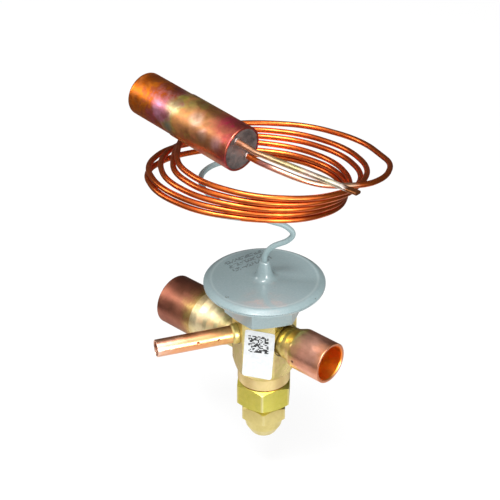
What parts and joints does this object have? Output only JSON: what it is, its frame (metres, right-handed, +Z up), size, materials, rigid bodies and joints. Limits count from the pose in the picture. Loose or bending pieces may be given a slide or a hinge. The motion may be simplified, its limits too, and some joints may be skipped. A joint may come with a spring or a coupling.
{
  "type": "thermostatic expansion valve",
  "caption": "Refrigerant expansion valve with a hexagonal brass body, brazed copper sockets, a disc power head and a sensing bulb on a coiled capillary tube.",
  "frame": {"origin": "where the spindle axis crosses the axis of the liquid inlet, inside the hexagonal body", "axes": "+Z up along the spindle towards the power head, +X out of the liquid inlet, -X out of the larger outlet"},
  "size_m": [0.1283, 0.099, 0.1773],
  "materials": {
    "bright_brass": "bright turned",
    "body_brass": "drawn bar, slightly tarnished",
    "copper": "heat-tinted copper",
    "bulb_copper": "oxidised copper",
    "coil_copper": "bright drawn copper",
    "grey_paint": "satin",
    "steel": "ground",
    "label": "matt",
    "gasket": "pressed fibre",
    "packing": "moulded"
  },
  "bodies": {
    "valve": {"valve_body": "body_brass", "valve_seat": "steel", "inlet_neck": "bright_brass", "inlet_socket": "copper", "inlet_strainer": "bright_brass", "outlet_reducer": "bright_brass", "outlet_socket": "copper", "equalizer_tube": "copper", "equalizer_ferrule": "bright_brass", "head_gasket": "gasket", "lower_head_cup": "grey_paint", "upper_head_shell": "grey_paint", "diaphragm": "steel", "nut_gasket": "copper", "bottom_nut": "bright_brass", "packing_ring": "packing", "packing_follower": "bright_brass", "cap_washer": "copper", "label": "label", "bulb_cup": "bulb_copper", "bulb_shell": "bulb_copper", "bulb_end_plate": "bulb_copper", "capillary_tube": "coil_copper", "fill_tube": "copper"},
    "pin": {"buffer_plate": "bright_brass", "push_rods": "steel", "valve_pin": "steel", "pin_carrier": "bright_brass", "superheat_spring": "steel"},
    "stem": {"adjusting_stem": "bright_brass"},
    "seat_plate": {"spring_seat": "bright_brass"},
    "cap": {"seal_cap": "body_brass"}
  },
  "joints": [
    {"name": "pin_lift", "type": "slide", "parent": "valve", "child": "pin", "axis": [0, 0, -1], "range_m": [0, 0.0012], "stiffness_N_per_m": 800, "springref_m": -0.002, "deforming": ["superheat_spring"]},
    {"name": "stem_turn", "type": "hinge", "parent": "valve", "child": "stem", "pos_m": [0, 0, -0.045], "axis": [0, 0, 1], "range_deg": [-1080, 1080]},
    {"name": "seat_plate_lift", "type": "slide", "parent": "valve", "child": "seat_plate", "axis": [0, 0, 1], "range_m": [-0.003, 0.003]},
    {"name": "cap_off", "type": "slide", "parent": "valve", "child": "cap", "axis": [0, 0, -1], "range_m": [0, 0.022]}
  ],
  "couplings": [
    {"joint": "stem_turn", "follows": "seat_plate_lift", "rad_per_m": 6283.2}
  ]
}
